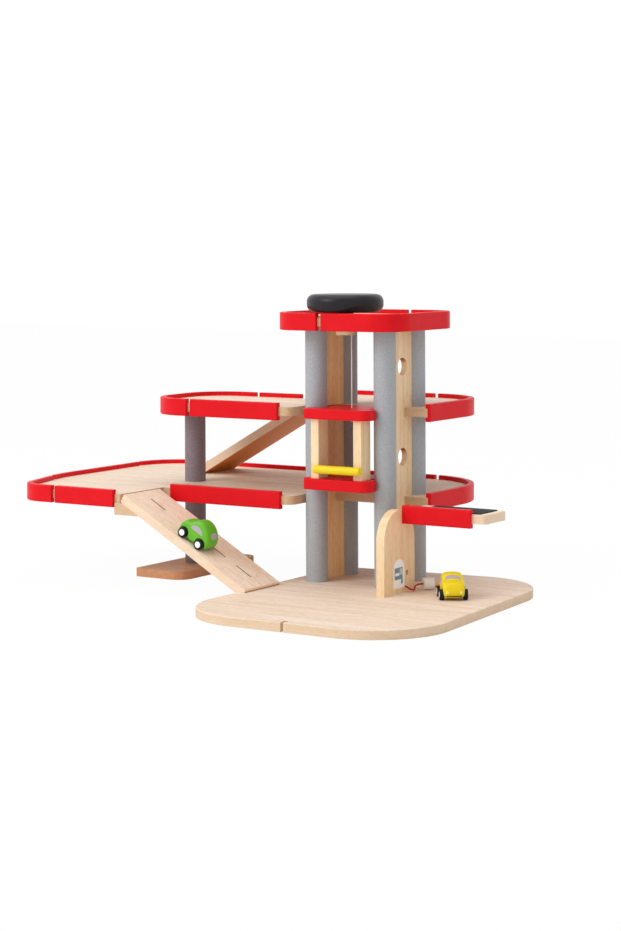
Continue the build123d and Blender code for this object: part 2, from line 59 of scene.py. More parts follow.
# %% [markdown]
# ## Helpers for modelling
# Every new piece starts from a primitive and is shaped by the same few steps, so they are functions.
# Operators act on all that is selected, so each piece starts with nothing selected. A piece could keep
# its place on its object, but here the place is baked into the mesh: then every object sits at the
# origin like the loaded ones, and a grain that reads object coordinates never slides or turns.

# %% Selecting and finishing
def deselect():
    """Leaves edit mode and selects nothing."""
    if bpy.context.object and bpy.context.object.mode != "OBJECT":
        bpy.ops.object.mode_set(mode="OBJECT")
    bpy.ops.object.select_all(action="DESELECT")


def select_only(obj):
    deselect()
    obj.select_set(True)
    bpy.context.view_layer.objects.active = obj


def bake_place(obj):
    """Moves the object's place into its mesh."""
    select_only(obj)
    bpy.ops.object.transform_apply(location=True, rotation=True, scale=True)
    return obj


def apply_all(obj):
    """Applies every modifier, from the first to the last."""
    select_only(obj)
    for m in list(obj.modifiers):
        bpy.ops.object.modifier_apply(modifier=m.name)
    return obj


def smooth(obj, degrees=35):
    """Shades smooth, but keeps edges sharper than the angle crisp."""
    select_only(obj)
    bpy.ops.object.shade_smooth_by_angle(angle=math.radians(degrees))
    return obj


def rounded_bar(name, size, centre, radius, segments=3):
    """A bar with eased edges: the primitive is sized, then its edges are bevelled in edit mode."""
    deselect()
    bpy.ops.mesh.primitive_cube_add(size=1, location=centre)
    obj = bpy.context.object
    obj.name = name
    obj.scale = size
    bake_place(obj)
    bpy.ops.object.mode_set(mode="EDIT")
    bpy.ops.mesh.select_all(action="SELECT")
    bpy.ops.mesh.bevel(offset=radius, segments=segments, affect="EDGES")
    bpy.ops.object.mode_set(mode="OBJECT")
    return smooth(obj)


# %% [markdown]
# ## Helpers for materials
# Every finish starts from the same shader and differs in its colours, its gloss and its relief. A colour
# is written as it is picked from a screen, from 0 to 255, and turned into the linear values that shaders
# use. Relief is a bump and not real geometry, because it is a tenth of a millimetre deep or less.

# %% Colours and nodes
def linear(r, g, b):
    """A screen colour as a shader's linear colour."""
    def one(c):
        c = c / 255
        return c / 12.92 if c <= 0.04045 else ((c + 0.055) / 1.055) ** 2.4
    return (one(r), one(g), one(b), 1.0)


def add(tree, kind, at=(0, 0), **values):
    """A node in a tree, at a place in the editor, with its settings."""
    n = tree.nodes.new(kind)
    n.location = at
    for key, value in values.items():
        setattr(n, key, value)
    return n


def new_material(name, roughness, shine=0.3):
    m = bpy.data.materials.new(name)
    m.use_nodes = True
    shader = m.node_tree.nodes["Principled BSDF"]
    shader.inputs["Roughness"].default_value = roughness
    shader.inputs["Specular IOR Level"].default_value = shine
    return m, m.node_tree, shader


def bump(tree, shader, height, distance):
    """Lets a height pattern tilt the surface; distance is the relief in metres."""
    b = add(tree, "ShaderNodeBump", (-200, -300))
    b.inputs["Strength"].default_value = 1.0
    b.inputs["Distance"].default_value = distance
    tree.links.new(height, b.inputs["Height"])
    tree.links.new(b.outputs["Normal"], shader.inputs["Normal"])


# %% [markdown]
# ## Wood grain
# The boards are pressed and planed rubberwood: a pale ground, soft streaks along the board, and a fine
# fleck of short dark pores that shows most on the base. Sawn edges are a little warmer, and their colour
# also holds painted shade for sides that face away from the light above. The faces that look down get a
# warm painted shade, for the shade and the bounced light under them. An image of wood would repeat and
# need a map for every board, so noise is used instead: it is squeezed along the board until its blobs
# become streaks. One node group makes it from the piece's own coordinates, and a rotation stands the
# streaks up in an upright.

# %% Wood grain group
def grain_noise(g, source, stretch, detail, at, distortion=0.0):
    """Noise on coordinates that are squeezed along the board."""
    long = add(g, "ShaderNodeVectorMath", at, operation="MULTIPLY")
    long.inputs[1].default_value = stretch
    g.links.new(source, long.inputs[0])
    noise = add(g, "ShaderNodeTexNoise", (at[0] + 180, at[1]))
    noise.inputs["Scale"].default_value = 1.0
    noise.inputs["Detail"].default_value = detail
    noise.inputs["Distortion"].default_value = distortion
    g.links.new(long.outputs[0], noise.inputs["Vector"])
    return noise.outputs["Fac"]


def ramp_value(g, value, low, high, at):
    """A value stretched so that low becomes 0 and high becomes 1."""
    step = add(g, "ShaderNodeMapRange", at)
    step.inputs["From Min"].default_value = low
    step.inputs["From Max"].default_value = high
    g.links.new(value, step.inputs["Value"])
    return step.outputs["Result"]


def times(g, a, b, at):
    m = add(g, "ShaderNodeMath", at, operation="MULTIPLY")
    g.links.new(a, m.inputs[0])
    if isinstance(b, float):
        m.inputs[1].default_value = b
    else:
        g.links.new(b, m.inputs[1])
    return m.outputs[0]


def mix_colours(g, amount, a, b, at):
    m = add(g, "ShaderNodeMix", at, data_type="RGBA")
    g.links.new(amount, m.inputs["Factor"])
    g.links.new(a, m.inputs["A"])
    g.links.new(b, m.inputs["B"])
    return m.outputs["Result"]


def build_wood_group():
    g = bpy.data.node_groups.new("board_grain", "ShaderNodeTree")
    # the edge colour mixes the sawn edges' own warmth with painted shade; the under colour is painted
    # shade for faces that look down
    for name, kind, value in (("Light", "NodeSocketColor", linear(236, 219, 198)),
                              ("Dark", "NodeSocketColor", linear(214, 186, 152)),
                              ("Fleck", "NodeSocketColor", linear(170, 142, 118)),
                              ("Edge", "NodeSocketColor", linear(196, 150, 104)),
                              ("Under Shade", "NodeSocketColor", linear(186, 120, 70)),
                              ("Turn", "NodeSocketVector", (0, 0, 0)),
                              ("Fleck Amount", "NodeSocketFloat", 0.4),
                              ("Edge Amount", "NodeSocketFloat", 0.6)):
        s = g.interface.new_socket(name, in_out="INPUT", socket_type=kind)
        s.default_value = value
    for name, kind in (("Colour", "NodeSocketColor"), ("Roughness", "NodeSocketFloat"),
                       ("Height", "NodeSocketFloat")):
        g.interface.new_socket(name, in_out="OUTPUT", socket_type=kind)
    gin = add(g, "NodeGroupInput", (-1400, 0))
    gout = add(g, "NodeGroupOutput", (900, 0))
    place = add(g, "ShaderNodeTexCoord", (-1400, -300))
    turn = add(g, "ShaderNodeMapping", (-1200, -300))
    g.links.new(place.outputs["Object"], turn.inputs["Vector"])
    g.links.new(gin.outputs["Turn"], turn.inputs["Rotation"])
    along = turn.outputs["Vector"]

    streak = grain_noise(g, along, (6.0, 110.0, 110.0), 6.0, (-1000, -100), 0.7)
    fleck = grain_noise(g, along, (110.0, 850.0, 850.0), 3.0, (-1000, -350))
    pore = grain_noise(g, along, (90.0, 900.0, 900.0), 2.0, (-1000, -600))
    broad = grain_noise(g, along, (9.0, 14.0, 14.0), 2.0, (-1000, 150))

    total = add(g, "ShaderNodeMath", (-400, 0), operation="MULTIPLY_ADD")
    total.inputs[1].default_value = 0.55
    g.links.new(ramp_value(g, streak, 0.38, 0.66, (-600, -100)), total.inputs[0])
    g.links.new(times(g, broad, 0.45, (-600, 150)), total.inputs[2])
    tone = mix_colours(g, total.outputs[0], gin.outputs["Light"], gin.outputs["Dark"], (-200, 100))
    specks = ramp_value(g, fleck, 0.50, 0.68, (-600, -350))
    flecks = times(g, specks, gin.outputs["Fleck Amount"], (-400, -350))
    tone = mix_colours(g, flecks, tone, gin.outputs["Fleck"], (0, 100))

    # sawn edges face sideways and take their warmer colour with painted shade in it; faces that look down
    # take the warm painted shade
    face = add(g, "ShaderNodeNewGeometry", (-1000, 450))
    parts = add(g, "ShaderNodeSeparateXYZ", (-800, 450))
    g.links.new(face.outputs["Normal"], parts.inputs["Vector"])
    up = add(g, "ShaderNodeMath", (-600, 450), operation="ABSOLUTE")
    g.links.new(parts.outputs["Z"], up.inputs[0])
    upright = ramp_value(g, up.outputs[0], 0.75, 0.35, (-400, 450))
    edge_and_shade = times(g, upright, gin.outputs["Edge Amount"], (-200, 450))
    tone = mix_colours(g, edge_and_shade, tone, gin.outputs["Edge"], (200, 100))
    shaded_below = ramp_value(g, parts.outputs["Z"], -0.25, -0.70, (-400, 650))
    tone = mix_colours(g, shaded_below, tone, gin.outputs["Under Shade"], (400, 100))
    g.links.new(tone, gout.inputs["Colour"])

    rough = add(g, "ShaderNodeMapRange", (400, -200))
    rough.inputs["To Min"].default_value = 0.45
    rough.inputs["To Max"].default_value = 0.68
    g.links.new(pore, rough.inputs["Value"])
    g.links.new(rough.outputs["Result"], gout.inputs["Roughness"])
    high = add(g, "ShaderNodeMath", (400, -400), operation="MULTIPLY_ADD")
    high.inputs[1].default_value = 0.5
    g.links.new(pore, high.inputs[0])
    g.links.new(streak, high.inputs[2])
    g.links.new(high.outputs[0], gout.inputs["Height"])
    return g


wood_group = build_wood_group()


# %% [markdown]
# ## The seven woods
# The real toy uses the same wood all over, but it looks different by place: the base is flecked, the
# uprights are more golden, the panel deep in the tower is warm with bounced light, and the ramps are the
# palest. Each place gets its own colours in the one grain group, which keeps the figure alike everywhere.

# %% Wood materials
# the edge colour is the sawn edges' own warmth with painted shade in it, and the under colour is a warm
# painted shade for faces that look down
def wood(name, light, dark, edge_and_shade, turn=(0, 0, 0), edge_amount=0.6, fleck=(176, 146, 120), flecks=0.35,
         under_shade=(184, 116, 66)):
    m, tree, shader = new_material(name, 0.55, shine=0.25)
    grain = add(tree, "ShaderNodeGroup", (-500, 0))
    grain.node_tree = wood_group
    grain.inputs["Light"].default_value = linear(*light)
    grain.inputs["Dark"].default_value = linear(*dark)
    grain.inputs["Fleck"].default_value = linear(*fleck)
    grain.inputs["Edge"].default_value = linear(*edge_and_shade)
    grain.inputs["Under Shade"].default_value = linear(*under_shade)
    grain.inputs["Turn"].default_value = [math.radians(a) for a in turn]
    grain.inputs["Fleck Amount"].default_value = flecks
    grain.inputs["Edge Amount"].default_value = edge_amount
    tree.links.new(grain.outputs["Colour"], shader.inputs["Base Color"])
    tree.links.new(grain.outputs["Roughness"], shader.inputs["Roughness"])
    bump(tree, shader, grain.outputs["Height"], 0.00012)
    return m


deck_wood = wood("deck_wood", (240, 225, 207), (216, 190, 162), (202, 156, 104), flecks=0.40)
base_wood = wood("base_wood", (243, 229, 212), (222, 196, 168), (216, 182, 144), flecks=0.38)
upright_wood = wood("upright_wood", (253, 230, 192), (234, 196, 146), (196, 150, 104), turn=(0, 90, 0),
                    edge_amount=0.0, flecks=0.25)
inner_wood = wood("inner_wood", (255, 226, 170), (246, 186, 122), (196, 140, 90), turn=(0, 90, 0),
                  edge_amount=0.0, fleck=(150, 96, 60), flecks=0.25)
# the ramps' under colour is an orange painted shade for their shaded undersides
ramp_wood = wood("ramp_wood", (252, 236, 218), (236, 204, 170), (232, 204, 174), flecks=0.30,
                 under_shade=(224, 138, 62))
# the foot board's deep orange edge colour is its own darker wood with painted shade in it
foot_wood = wood("foot_wood", (252, 228, 196), (244, 206, 164), (208, 122, 60), fleck=(150, 100, 70))
tip_wood = wood("tip_wood", (242, 208, 174), (228, 186, 148), (234, 198, 162), flecks=0.1)
woods = (deck_wood, base_wood, upright_wood, inner_wood, ramp_wood, foot_wood, tip_wood)
print("wood materials:", len(woods))

# %% [markdown]
# ## Paint
# The red bands and the two cars have a thick gloss paint. A single colour would look like plastic film,
# because real paint is never quite even: a slow mottle changes its colour and gloss, and a fine ripple,
# like orange peel, breaks its highlights. Both come from one group, which the plastic, the rubber and
# the print use too, with their own gloss.

# %% Paint group
def build_paint_group():
    g = bpy.data.node_groups.new("brushed_on_gloss", "ShaderNodeTree")
    for name, kind, value in (("Paint", "NodeSocketColor", linear(225, 30, 35)),
                              ("Worn", "NodeSocketColor", linear(206, 22, 28)),
                              ("Low Gloss", "NodeSocketFloat", 0.28),
                              ("High Gloss", "NodeSocketFloat", 0.40)):
        s = g.interface.new_socket(name, in_out="INPUT", socket_type=kind)
        s.default_value = value
    for name, kind in (("Colour", "NodeSocketColor"), ("Roughness", "NodeSocketFloat"),
                       ("Height", "NodeSocketFloat")):
        g.interface.new_socket(name, in_out="OUTPUT", socket_type=kind)
    gin = add(g, "NodeGroupInput", (-800, 0))
    gout = add(g, "NodeGroupOutput", (400, 0))
    place = add(g, "ShaderNodeTexCoord", (-800, -200))
    mottle = add(g, "ShaderNodeTexNoise", (-600, 0))
    mottle.inputs["Scale"].default_value = 45.0
    mottle.inputs["Detail"].default_value = 3.0
    peel = add(g, "ShaderNodeTexNoise", (-600, -300))
    peel.inputs["Scale"].default_value = 420.0
    g.links.new(place.outputs["Object"], mottle.inputs["Vector"])
    g.links.new(place.outputs["Object"], peel.inputs["Vector"])
    mix = add(g, "ShaderNodeMix", (-200, 100), data_type="RGBA")
    g.links.new(mottle.outputs["Fac"], mix.inputs["Factor"])
    g.links.new(gin.outputs["Paint"], mix.inputs["A"])
    g.links.new(gin.outputs["Worn"], mix.inputs["B"])
    g.links.new(mix.outputs["Result"], gout.inputs["Colour"])
    rough = add(g, "ShaderNodeMapRange", (-200, -150))
    g.links.new(mottle.outputs["Fac"], rough.inputs["Value"])
    g.links.new(gin.outputs["Low Gloss"], rough.inputs["To Min"])
    g.links.new(gin.outputs["High Gloss"], rough.inputs["To Max"])
    g.links.new(rough.outputs["Result"], gout.inputs["Roughness"])
    g.links.new(peel.outputs["Fac"], gout.inputs["Height"])
    return g


paint_group = build_paint_group()


# %% Paint materials
def paint(name, colour, worn, low=0.28, high=0.40, ripple=0.00004, shine=0.25):
    """Paint that drifts from one colour to a worn one, and from a low to a high roughness."""
    m, tree, shader = new_material(name, 0.35, shine)
    p = add(tree, "ShaderNodeGroup", (-400, 0))
    p.node_tree = paint_group
    p.inputs["Paint"].default_value = colour
    p.inputs["Worn"].default_value = worn
    p.inputs["Low Gloss"].default_value = low
    p.inputs["High Gloss"].default_value = high
    tree.links.new(p.outputs["Colour"], shader.inputs["Base Color"])
    tree.links.new(p.outputs["Roughness"], shader.inputs["Roughness"])
    bump(tree, shader, p.outputs["Height"], ripple)
    return m


red_paint = paint("red_paint", linear(228, 20, 32), linear(210, 12, 22), 0.34, 0.46, shine=0.12)
yellow_paint = paint("yellow_paint", linear(240, 218, 22), linear(226, 196, 14), 0.26, 0.36)
green_paint = paint("green_paint", linear(112, 190, 48), linear(90, 170, 38), 0.26, 0.36)
black_gloss = paint("black_gloss", linear(40, 35, 40), linear(28, 24, 28), 0.30, 0.40, shine=0.22)
white_plastic = paint("white_plastic", linear(252, 251, 248), linear(244, 242, 238), 0.30, 0.42)
black_rubber = paint("black_rubber", linear(28, 27, 28), linear(18, 18, 19), 0.55, 0.75, 0.0001)
window_grey = paint("window_grey", linear(186, 176, 184), linear(170, 162, 170), 0.25, 0.35)
sheet_dark = paint("sheet_dark", linear(56, 58, 62), linear(42, 44, 48), 0.55, 0.70, shine=0.06)
label_white = paint("label_white", linear(252, 253, 254), linear(246, 248, 250), 0.40, 0.55, shine=0.15)
label_pale = paint("label_pale", linear(196, 214, 220), linear(182, 202, 210), 0.40, 0.55, shine=0.15)
label_grey = paint("label_grey", linear(136, 156, 166), linear(120, 140, 152), 0.40, 0.55, shine=0.15)
label_teal = paint("label_teal", linear(92, 184, 178), linear(78, 170, 166), 0.40, 0.55, shine=0.15)
lamp_cream = paint("lamp_cream", linear(252, 244, 150), linear(244, 230, 120), 0.20, 0.30)
# a dark brown for the bar low on the yellow car's nose, under its lamps
nose_bar_dark = paint("nose_bar_dark", linear(60, 34, 20), linear(42, 24, 16), 0.35, 0.50)
dash_brown = paint("dash_brown", linear(84, 66, 56), linear(66, 50, 42), 0.50, 0.65, shine=0.1)
paints = (red_paint, yellow_paint, green_paint, black_gloss, white_plastic, black_rubber, window_grey,
          sheet_dark, label_white, label_grey, label_pale, label_teal, lamp_cream, nose_bar_dark, dash_brown)
print("paints:", len(paints))

# %% [markdown]
# ## Speckled tube
# The tubes are pressed fibre with a matte grey coat, and close up they show a fine light and dark
# speckle. The outer column is a darker, slightly purple grey. A fine noise mixes the two greys, and a
# slow one varies the gloss, so that the long straight tubes don't shine like metal.

# %% Speckled grey
def speckled(name, colour, speck):
    """A matte coat with specks of a second colour."""
    m, tree, shader = new_material(name, 0.6)
    place = add(tree, "ShaderNodeTexCoord", (-900, 0))
    fine = add(tree, "ShaderNodeTexNoise", (-700, 0))
    fine.inputs["Scale"].default_value = 520.0
    fine.inputs["Detail"].default_value = 2.0
    slow = add(tree, "ShaderNodeTexNoise", (-700, -250))
    slow.inputs["Scale"].default_value = 30.0
    tree.links.new(place.outputs["Object"], fine.inputs["Vector"])
    tree.links.new(place.outputs["Object"], slow.inputs["Vector"])
    dots = add(tree, "ShaderNodeMapRange", (-500, 0))
    dots.inputs["From Min"].default_value = 0.30
    dots.inputs["From Max"].default_value = 0.75
    tree.links.new(fine.outputs["Fac"], dots.inputs["Value"])
    mix = add(tree, "ShaderNodeMix", (-300, 0), data_type="RGBA")
    mix.inputs["A"].default_value = colour
    mix.inputs["B"].default_value = speck
    tree.links.new(dots.outputs["Result"], mix.inputs["Factor"])
    tree.links.new(mix.outputs["Result"], shader.inputs["Base Color"])
    rough = add(tree, "ShaderNodeMapRange", (-300, -250))
    rough.inputs["To Min"].default_value = 0.48
    rough.inputs["To Max"].default_value = 0.66
    tree.links.new(slow.outputs["Fac"], rough.inputs["Value"])
    tree.links.new(rough.outputs["Result"], shader.inputs["Roughness"])
    bump(tree, shader, fine.outputs["Fac"], 0.00003)
    return m


tube_grey = speckled("tube_grey", linear(176, 180, 184), linear(158, 162, 167))
column_grey = speckled("column_grey", linear(144, 132, 138), linear(124, 113, 120))


# %% [markdown]
# ## Braided cord
# The lift cord and the pump's hose are soft cords with a diagonal weave, a fraction of a millimetre
# across. Modelled strands would be too fine to see, so a wave pattern gives their colour and relief; the
# darker colour it lays in the grooves between the strands is painted shade.

# %% Cord material
def braided(name, colour, groove_shade):
    """Cord with a raised colour and painted shade in the groove between its strands."""
    m, tree, shader = new_material(name, 0.8)
    place = add(tree, "ShaderNodeTexCoord", (-900, 0))
    wave = add(tree, "ShaderNodeTexWave", (-700, 0), bands_direction="DIAGONAL")
    wave.inputs["Scale"].default_value = 260.0
    wave.inputs["Distortion"].default_value = 1.5
    tree.links.new(place.outputs["Object"], wave.inputs["Vector"])
    mix = add(tree, "ShaderNodeMix", (-400, 0), data_type="RGBA")
    mix.inputs["A"].default_value = groove_shade
    mix.inputs["B"].default_value = colour
    tree.links.new(wave.outputs["Fac"], mix.inputs["Factor"])
    tree.links.new(mix.outputs["Result"], shader.inputs["Base Color"])
    bump(tree, shader, wave.outputs["Fac"], 0.0002)
    return m


# each cord's second colour is the painted shade in the grooves of its weave
white_cord = braided("white_cord", linear(240, 240, 238), linear(196, 196, 192))
red_cord = braided("red_cord", linear(206, 34, 40), linear(160, 18, 24))

# %% [markdown]
# ## Dressing the loaded pieces
# Each loaded piece has its real shape, so it keeps its mesh and only gets a finish, through its material
# slot. The table below goes from a finish to the pieces that wear it, because a new piece of the same
# kind is then one more name in a row.

# %% Give every loaded piece its finish
finishes = {
    red_paint: [n for n in node if "band" in n] + ["lift_floor", "lift_roof"],
    tube_grey: [n for n in node if n.startswith("tube_")],
    column_grey: ["column_lower", "column_upper"],
    upright_wood: ["panel_right", "lift_posts", "pump_board", "cord_cup"],
    inner_wood: ["panel_left"],
    deck_wood: ["lower_board", "upper_board", "top_board", "ledge_1", "ledge_2", "winding_shaft"],
    base_wood: ["base_board"],
    foot_wood: ["foot_board"],
    ramp_wood: ["ramp_1", "ramp_2", "solar_board"],
    black_gloss: ["winding_knob"],
    yellow_paint: ["barrier_rod", "yellow_car_body"],
    green_paint: ["green_car_body"],
    window_grey: [n for n in node if n.endswith("_windows")],
    black_rubber: [n for n in node if n.endswith("_tyres")],
    white_plastic: [n for n in node if n.endswith("_axle")] + ["nozzle_body"],
    tip_wood: ["nozzle_tip"],
    sheet_dark: ["solar_sheet"],
    label_white: ["pump_sticker"],
    white_cord: ["cord_knot", "lift_cord"],
    red_cord: ["pump_hose"],
}
dressed = set()
for material, names in finishes.items():
    for n in names:
        obj = node[n]
        if not obj.material_slots:
            obj.data.materials.append(material)
        for s in obj.material_slots:
            s.material = material
        dressed.add(n)
print("dressed", len(dressed), "of", len(node), "left:", sorted(set(node) - dressed))

# %% [markdown]
# ## The lift cord
# A twisted cord of three strands hangs from the winder and carries the lift. A spin or a screw modifier
# could make the strands one by one, but one lobed rod is lighter: every third vertex of a cylinder is
# drawn in, the rod is cut into rings, and each ring is turned a little further than the one below.

# %% Twist the lift cord
rod_sides, groove_depth = 12, 0.68
ring_cuts, twists = 90, 14
low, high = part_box("lift_cord")
cord_r = (high.x - low.x) / 2
cord_mid = (low + high) / 2
deselect()
bpy.ops.mesh.primitive_cylinder_add(vertices=rod_sides, radius=cord_r, depth=high.z - low.z,
                                    location=cord_mid)
lift_cord = bpy.context.object
lift_cord.name = "lift_cord_twist"
bake_place(lift_cord)
for v in lift_cord.data.vertices:
    arm = Vector((v.co.x - cord_mid.x, v.co.y - cord_mid.y))
    spoke = round(math.degrees(math.atan2(arm.y, arm.x)) / (360 / rod_sides)) % 4
    keep = groove_depth if spoke == 2 else 1.0
    v.co.x = cord_mid.x + arm.x * keep
    v.co.y = cord_mid.y + arm.y * keep
bpy.ops.object.mode_set(mode="EDIT")
bpy.ops.mesh.select_all(action="DESELECT")
bpy.ops.object.mode_set(mode="OBJECT")
for e in lift_cord.data.edges:
    a, b = (lift_cord.data.vertices[i].co for i in e.vertices)
    e.select = abs(a.z - b.z) > 0.01
bpy.ops.object.mode_set(mode="EDIT")
bpy.ops.mesh.select_mode(type="EDGE")
bpy.ops.mesh.subdivide(number_cuts=ring_cuts)
bpy.ops.object.mode_set(mode="OBJECT")
for v in lift_cord.data.vertices:
    turn = Matrix.Rotation((v.co.z - low.z) / (high.z - low.z) * math.tau * twists, 2)
    arm = turn @ Vector((v.co.x - cord_mid.x, v.co.y - cord_mid.y))
    v.co.x = cord_mid.x + arm.x
    v.co.y = cord_mid.y + arm.y
smooth(lift_cord, 60)
lift_cord.data.materials.append(white_cord)
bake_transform(lift_cord)
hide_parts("lift_cord")
print("lift cord:", len(lift_cord.data.polygons), "faces")

# %% [markdown]
# ## The pump's hose
# A soft red cord leaves the pump's face, dips towards the base and curls round to the nozzle. Its route is
# five points chosen along the real one. A NURBS line runs smoothly near them, and a round bevel
# gives it its thickness. Bending a mesh tube would also work, but a curve stays easy to re-route.

# %% Lay the hose
hose_r = 0.0011
hose_route = [(95.5, -57.5, 19.8), (103.0, -57.0, 16.0), (104.0, -47.0, 13.4),
              (99.0, -38.0, 20.0), (107.0, -30.0, 20.0)]
line = bpy.data.curves.new("pump_hose_cord", "CURVE")
line.dimensions = "3D"
spline = line.splines.new("NURBS")
spline.points.add(len(hose_route) - 1)
for p, at in zip(spline.points, hose_route):
    p.co = (at[0] / 1000, at[1] / 1000, at[2] / 1000, 1)
spline.order_u = 3
spline.use_endpoint_u = True
spline.resolution_u = 24
line.bevel_depth = hose_r
line.bevel_resolution = 4
line.use_fill_caps = True
pump_hose = bpy.data.objects.new("pump_hose_cord", line)
bpy.context.scene.collection.objects.link(pump_hose)
line.materials.append(red_cord)
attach(pump_hose, "frame")
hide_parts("pump_hose")
print("hose points:", len(hose_route))

# %% [markdown]
# ## Road dashes on the ramps
# A road's centre line runs down the middle of each ramp as four thin dark dashes. They could be a pattern
# in the ramp's material, but a pattern leaves nothing in the mesh. Each is an inlaid bar instead, sunk
# into the plank and a tenth of a millimetre proud. The upper ramp runs the other way, so it is turned.

# %% Inlay the dashes
ramp_slope = math.radians(29.6)
plank_t = 0.012
dash_starts = (0.018, 0.082, 0.134, 0.182)
dash_size = (0.028, 0.0018, 0.00095)
dash_sunk = 0.00036
for name, towards in (("ramp_1", 1), ("ramp_2", -1)):
    low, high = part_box(name)
    back = math.sin(ramp_slope) * plank_t
    top = Vector((low.x + back if towards > 0 else high.x - back, (low.y + high.y) / 2, high.z))
    facing = Matrix.Rotation(0 if towards > 0 else math.pi, 4, "Z")
    down = Matrix.Translation(top) @ facing @ Matrix.Rotation(ramp_slope, 4, "Y")
    for i, start in enumerate(dash_starts):
        dash = rounded_bar(f"{name}_dash_{i + 1}", dash_size, (0, 0, 0), 0.00008, 1)
        dash.matrix_world = down @ Matrix.Translation((start + dash_size[0] / 2, 0, -dash_sunk))
        bake_place(dash)
        dash.data.materials.append(dash_brown)
        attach(dash, name)
print("dashes:", 2 * len(dash_starts))

# %% [markdown]
# ## The two toy cars
# Each car is one rounded block of wood: a domed roof, a low bonnet and a sloping back, with printed grey
# windows and wheels that stand proud of its sides. The block could be carved from a cube, but its side
# view decides how it looks, so that is drawn first, as one flat outline. It is pushed across the width
# in steps that shrink towards both sides, and subdivision rounds it. The arches are then cut over the
# loaded wheels. Lengths in this part are millimetres until the piece is placed.

# %% The car's shape and place
side_view = [(-25, 2.5), (-27.5, 9), (-26.5, 17), (-20.5, 26.5), (-11, 33), (-1, 34.5), (6.5, 31.5),
             (11, 23.4), (17.5, 25.0), (24.5, 20.5), (27.5, 11), (26, 2.5), (8, 2), (-8, 2)]
stations = [(-15.75, 0.78), (-13.6, 0.95), (-6.0, 1.0), (6.0, 1.0), (13.6, 0.95), (15.75, 0.78)]
waist_z = 14
lean_from_z, lean, taper_from_x, taper = 20, 0.012, 14, 0.006
wheel_x, wheel_z, arch_r, arch_y, arch_depth = 15.0, 7, 8.3, 16, 10
mm = Matrix.Scale(0.001, 4)
deck_z, ramp_top_x, green_x, green_y = 130.0, -281.0, -177.0, -153.0
green_z = deck_z - (green_x - ramp_top_x) * math.tan(ramp_slope)
yellow_heading = math.radians(-54.4)
car_places = {
    "yellow": Matrix.Translation((0.172, -0.068, 0.012)) @ Matrix.Rotation(yellow_heading, 4, "Z"),
    "green": (Matrix.Translation((green_x / 1000, green_y / 1000, green_z / 1000))
              @ Matrix.Rotation(ramp_slope, 4, "Y") @ Matrix.Rotation(math.pi, 4, "Z")),
}
print("car outline points:", len(side_view))


# %% Helpers: a pushed outline, a cut, a copy
def pushed_outline(name, points, axis, start, end):
    """A flat outline pushed from start to end; axis is the way it is pushed."""
    deselect()
    bpy.ops.mesh.primitive_circle_add(vertices=len(points), radius=1, fill_type="NGON")
    obj = bpy.context.object
    obj.name = name
    for v, (a, b) in zip(obj.data.vertices, points):
        v.co = (a, start, b) if axis == "Y" else (start, a, b)
    push = (0, end - start, 0) if axis == "Y" else (end - start, 0, 0)
    bpy.ops.object.mode_set(mode="EDIT")
    bpy.ops.mesh.select_all(action="SELECT")
    bpy.ops.mesh.extrude_region_move(TRANSFORM_OT_translate={"value": push})
    bpy.ops.mesh.select_all(action="SELECT")
    bpy.ops.mesh.normals_make_consistent(inside=False)
    bpy.ops.object.mode_set(mode="OBJECT")
    return obj


def join(objects):
    """Makes one object of several."""
    deselect()
    for o in objects:
        o.select_set(True)
    bpy.context.view_layer.objects.active = objects[0]
    bpy.ops.object.join()
    return bpy.context.object


def cut(obj, tool, operation):
    """Cuts a piece with a tool and throws the tool away; operation is DIFFERENCE or INTERSECT."""
    m = obj.modifiers.new("cut", "BOOLEAN")
    m.operation = operation
    m.solver = "EXACT"
    m.object = tool
    apply_all(obj)
    bpy.data.objects.remove(tool)
    return obj


def copy_piece(obj, name):
    """A copy with a mesh of its own."""
    twin = obj.copy()
    twin.data = obj.data.copy()
    twin.name = name
    bpy.context.scene.collection.objects.link(twin)
    return twin


# %% The smooth shell, before any cut
def car_shell(name):
    """The car's block: one outline, pushed across the width, leaned in and rounded."""
    deselect()
    bpy.ops.mesh.primitive_circle_add(vertices=len(side_view), radius=1, fill_type="NGON")
    shell = bpy.context.object
    shell.name = name
    y, k = stations[0]
    for v, (x, z) in zip(shell.data.vertices, side_view):
        v.co = (x * k, y, waist_z + (z - waist_z) * k)
    bpy.ops.object.mode_set(mode="EDIT")
    bpy.ops.mesh.select_all(action="SELECT")
    for (y0, k0), (y1, k1) in zip(stations, stations[1:]):
        bpy.ops.mesh.extrude_region_move(TRANSFORM_OT_translate={"value": (0, y1 - y0, 0)})
        bpy.ops.transform.resize(value=(k1 / k0, 1, k1 / k0), center_override=(0, y1, waist_z))
    bpy.ops.mesh.select_all(action="SELECT")
    bpy.ops.mesh.normals_make_consistent(inside=False)
    bpy.ops.object.mode_set(mode="OBJECT")
    # the cabin leans in towards the roof, and the nose and tail are narrower than the middle
    for v in shell.data.vertices:
        above, beyond = max(0.0, v.co.z - lean_from_z), max(0.0, abs(v.co.x) - taper_from_x)
        v.co.y *= 1.0 - lean * above - taper * beyond
    rounding = shell.modifiers.new("rounding", "SUBSURF")
    rounding.levels = rounding.render_levels = 3
    return apply_all(shell)


def oval(across, low, high, count=20):
    """The points of an oval: half its width, and its lowest and highest place."""
    mid, tall = (low + high) / 2, (high - low) / 2
    return [(across * math.cos(math.tau * i / count), mid + tall * math.sin(math.tau * i / count))
            for i in range(count)]


# %% [markdown]
# ## Windows, arches and placing
# The real windows are printed on the curved body. A flat pane would float off it, so the glass starts as
# a copy of the shell, a tenth of a millimetre larger, and only what lies inside the drawn panes is kept.

